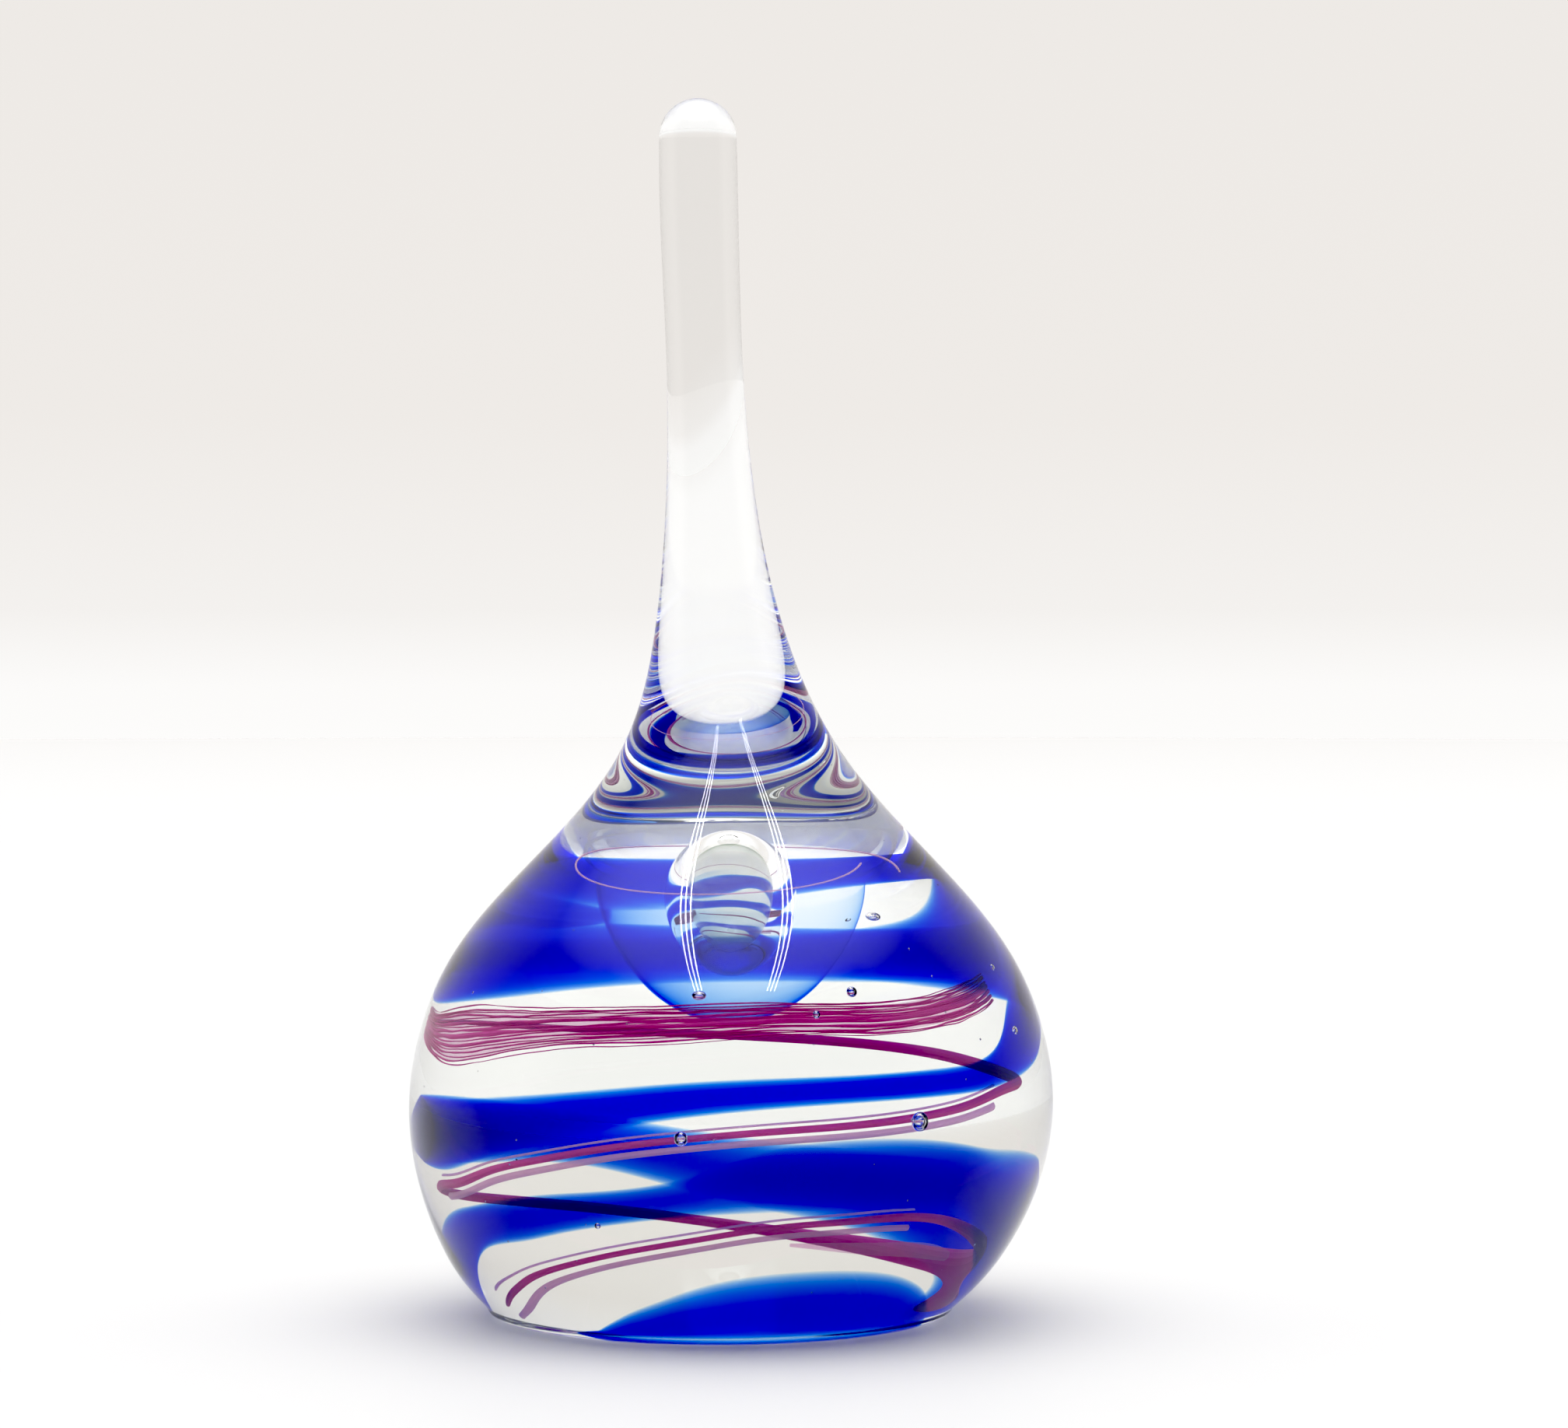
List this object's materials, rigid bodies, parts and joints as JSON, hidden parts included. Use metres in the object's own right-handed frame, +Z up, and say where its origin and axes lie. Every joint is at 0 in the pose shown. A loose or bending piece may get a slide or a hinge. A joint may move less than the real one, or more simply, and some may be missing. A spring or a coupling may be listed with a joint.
{
  "type": "glass ring holder paperweight",
  "caption": "Solid clear glass teardrop paperweight drawn up into a tall stem that holds rings, with a cobalt ribbon, amethyst threads and an air bubble inside.",
  "frame": {"origin": "middle of the ground flat base, under the axis of the round body", "axes": "+Z up along the stem; +X is where the spiral rises to on the front, and the front faces -Y"},
  "size_m": [0.0794, 0.0794, 0.1498],
  "materials": {
    "clear_glass": "polished, water clear with a few seed bubbles",
    "cobalt_glass": "deep transparent cobalt, paler at its thin edges",
    "amethyst_glass": "transparent red purple",
    "lilac_glass": "pale lilac, full of fine seed bubbles"
  },
  "bodies": {
    "root": {"clear_casing": "clear_glass", "clear_core": "clear_glass", "cobalt_film": "cobalt_glass", "cobalt_ribbon": "cobalt_glass", "cobalt_foot": "cobalt_glass", "amethyst_strand": "amethyst_glass", "lilac_strand": "lilac_glass", "amethyst_streaks": "amethyst_glass", "amethyst_smear": "amethyst_glass", "seed_thread": "lilac_glass"}
  },
  "joints": []
}
